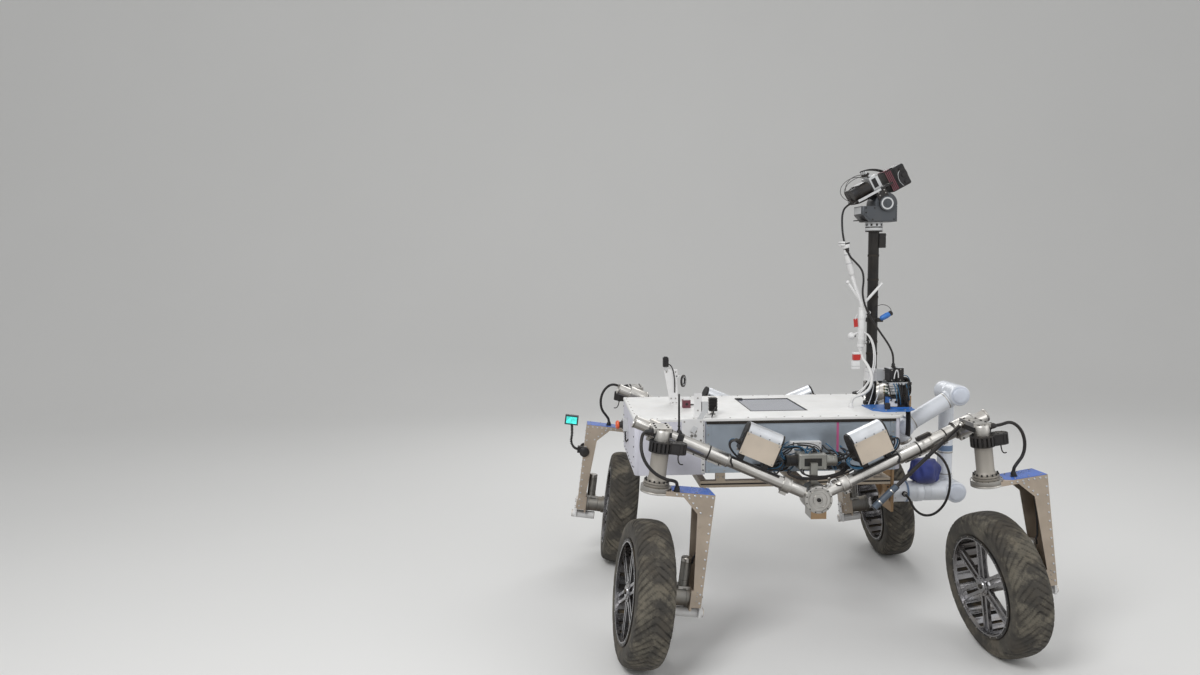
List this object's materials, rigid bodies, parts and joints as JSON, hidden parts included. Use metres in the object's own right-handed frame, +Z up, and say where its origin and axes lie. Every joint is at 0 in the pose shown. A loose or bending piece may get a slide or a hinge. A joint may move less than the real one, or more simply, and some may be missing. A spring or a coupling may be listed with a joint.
{
  "type": "mars rover",
  "caption": "Wheeled planetary test rover with leaning steered legs, bent rocker tubes, a flat body box, a camera mast and a folded robot arm, standing in crab mode.",
  "frame": {"origin": "on the ground, midway between the four wheels", "axes": "+X forward to the robot arm, +Y left, +Z up"},
  "size_m": [1.9811, 1.8154, 2.023],
  "materials": {
    "anodised_black": "satin anodised",
    "arm_white": "satin",
    "battery_black": "matt",
    "body_white": "satin",
    "boom_white": "matt",
    "box_aluminium": "satin",
    "bracket_orange": "satin",
    "cable_black": "matt",
    "carrier_blue": "satin",
    "drive_steel": "satin",
    "electronics_black": "matt",
    "fitting_black": "matt",
    "fitting_white": "matt",
    "flange_aluminium": "machined",
    "frame_aluminium": "satin",
    "hose_white": "matt",
    "leg_aluminium": "brushed with dust",
    "mast_aluminium": "satin",
    "pan_grey": "satin",
    "panel_aluminium": "satin",
    "rim_aluminium": "machined bright",
    "stop_red": "gloss",
    "tube_aluminium": "brushed with dust",
    "tyre": "matt",
    "window_glass": "tinted"
  },
  "bodies": {
    "chassis": {"body_tub": "body_white", "deck_lid": "body_white", "deck_window": "window_glass", "side_panels": "panel_aluminium", "rear_cover": "body_white", "battery_pack": "battery_black", "underframe": "frame_aluminium", "arm_bracket": "bracket_orange", "motor_controllers": "box_aluminium", "junction_boxes": "anodised_black", "mast": "mast_aluminium", "arm_base": "arm_white", "deck_fittings": "fitting_white", "stop_button": "stop_red", "tube_fittings": "fitting_black", "stack_carrier": "carrier_blue", "electronics_stack": "electronics_black", "cable_boom": "boom_white", "conduit": "fitting_black", "mast_lead_top": "cable_black", "mast_leads": "hose_white", "arm_lead": "cable_black", "rocker_right": "tube_aluminium", "rocker_left": "tube_aluminium", "steer_drive_rear_right": "anodised_black", "steer_loop_rear_right": "cable_black", "steer_drive_front_right": "anodised_black", "steer_loop_front_right": "cable_black", "steer_drive_rear_left": "anodised_black", "steer_loop_rear_left": "cable_black", "steer_drive_front_left": "anodised_black", "steer_loop_front_left": "cable_black"},
    "steer_rear_right": {"leg_rear_right": "leg_aluminium", "wheel_drive_rear_right": "drive_steel"},
    "wheel_rear_right": {"tyre_rear_right": "tyre", "rim_rear_right": "rim_aluminium"},
    "steer_front_right": {"leg_front_right": "leg_aluminium", "wheel_drive_front_right": "drive_steel"},
    "wheel_front_right": {"tyre_front_right": "tyre", "rim_front_right": "rim_aluminium"},
    "steer_rear_left": {"leg_rear_left": "leg_aluminium", "wheel_drive_rear_left": "drive_steel", "action_camera": "fitting_black"},
    "wheel_rear_left": {"tyre_rear_left": "tyre", "rim_rear_left": "rim_aluminium"},
    "steer_front_left": {"leg_front_left": "leg_aluminium", "wheel_drive_front_left": "drive_steel"},
    "wheel_front_left": {"tyre_front_left": "tyre", "rim_front_left": "rim_aluminium"},
    "mast_pan": {"mast_pan_unit": "pan_grey"},
    "mast_tilt": {"camera_head": "anodised_black"},
    "arm_shoulder": {"arm_shoulder": "arm_white"},
    "arm_upper": {"arm_upper": "arm_white"},
    "arm_forearm": {"arm_forearm": "arm_white"},
    "arm_wrist": {"arm_wrist": "arm_white"},
    "arm_tool_flange": {"arm_tool_flange": "flange_aluminium"}
  },
  "joints": [
    {"name": "steer_rear_right", "type": "hinge", "parent": "chassis", "child": "steer_rear_right", "pos_m": [-0.715, -0.618, 0.2883], "axis": [0.1253, 0, 0.9921], "range_deg": [-185, 5], "deforming": ["steer_loop_rear_right"]},
    {"name": "wheel_rear_right", "type": "hinge", "parent": "steer_rear_right", "child": "wheel_rear_right", "pos_m": [-0.715, -0.618, 0.2883], "axis": [0.9891, 0.0785, -0.1249], "continuous": true},
    {"name": "steer_front_right", "type": "hinge", "parent": "chassis", "child": "steer_front_right", "pos_m": [0.715, -0.618, 0.2883], "axis": [-0.1253, 0, 0.9921], "range_deg": [-185, 5], "deforming": ["steer_loop_front_right"]},
    {"name": "wheel_front_right", "type": "hinge", "parent": "steer_front_right", "child": "wheel_front_right", "pos_m": [0.715, -0.618, 0.2883], "axis": [0.9897, 0.0698, 0.125], "continuous": true},
    {"name": "steer_rear_left", "type": "hinge", "parent": "chassis", "child": "steer_rear_left", "pos_m": [-0.715, 0.618, 0.2883], "axis": [0.1253, 0, 0.9921], "range_deg": [-185, 5], "deforming": ["steer_loop_rear_left"]},
    {"name": "wheel_rear_left", "type": "hinge", "parent": "steer_rear_left", "child": "wheel_rear_left", "pos_m": [-0.715, 0.618, 0.2883], "axis": [-0.9915, 0.0349, 0.1253], "continuous": true},
    {"name": "steer_front_left", "type": "hinge", "parent": "chassis", "child": "steer_front_left", "pos_m": [0.715, 0.618, 0.2883], "axis": [-0.1253, 0, 0.9921], "range_deg": [-185, 5], "deforming": ["steer_loop_front_left"]},
    {"name": "wheel_front_left", "type": "hinge", "parent": "steer_front_left", "child": "wheel_front_left", "pos_m": [0.715, 0.618, 0.2883], "axis": [-0.9918, 0.0262, -0.1253], "continuous": true},
    {"name": "mast_pan", "type": "hinge", "parent": "chassis", "child": "mast_pan", "pos_m": [0.412, 0, 1.762], "axis": [0, 0, 1], "range_deg": [-170, 170], "deforming": ["mast_lead_top"]},
    {"name": "mast_tilt", "type": "hinge", "parent": "mast_pan", "child": "mast_tilt", "pos_m": [0.446, 0, 1.843], "axis": [0, 1, 0], "range_deg": [-5, 50], "deforming": ["mast_lead_top"]},
    {"name": "arm_pan", "type": "hinge", "parent": "chassis", "child": "arm_shoulder", "pos_m": [0.66, 0, 0.507], "axis": [1, 0, 0], "range_deg": [-40, 15]},
    {"name": "arm_lift", "type": "hinge", "parent": "arm_shoulder", "child": "arm_upper", "pos_m": [0.81, 0, 0.507], "axis": [0, 1, 0], "range_deg": [0, 90]},
    {"name": "arm_elbow", "type": "hinge", "parent": "arm_upper", "child": "arm_forearm", "pos_m": [0.815, 0, 0.962], "axis": [0, 1, 0], "range_deg": [0, 140]},
    {"name": "wrist_pitch", "type": "hinge", "parent": "arm_forearm", "child": "arm_wrist", "pos_m": [0.56564, 0, 0.81394], "axis": [0, 1, 0], "range_deg": [-90, 75]},
    {"name": "wrist_roll", "type": "hinge", "parent": "arm_wrist", "child": "arm_tool_flange", "pos_m": [0.61077, 0.084, 0.73793], "axis": [0.5105, 0, -0.8599], "range_deg": [-180, 180]}
  ]
}
